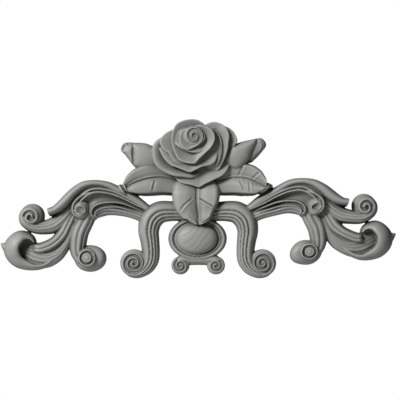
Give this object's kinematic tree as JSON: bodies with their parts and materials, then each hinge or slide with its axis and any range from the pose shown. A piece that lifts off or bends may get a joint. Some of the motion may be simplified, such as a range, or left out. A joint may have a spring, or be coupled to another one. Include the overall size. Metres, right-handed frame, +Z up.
{
  "type": "decorative onlay",
  "caption": "Flat-backed moulded onlay: an open rose with buds and leaves over a small cartouche, between scrolled legs and long fluted scroll arms.",
  "frame": {"origin": "on the flat back, on the middle line, at the level where the legs' arches start", "axes": "+X to the right as seen from the front, +Y out of the flat back into the wall, +Z up; the carved front faces -Y"},
  "size_m": [0.6348, 0.051, 0.2554],
  "materials": {
    "primer_grey": "factory-primed satin grey, smooth, slightly uneven"
  },
  "bodies": {
    "root": {"rose_onlay": "primer_grey"}
  },
  "joints": []
}
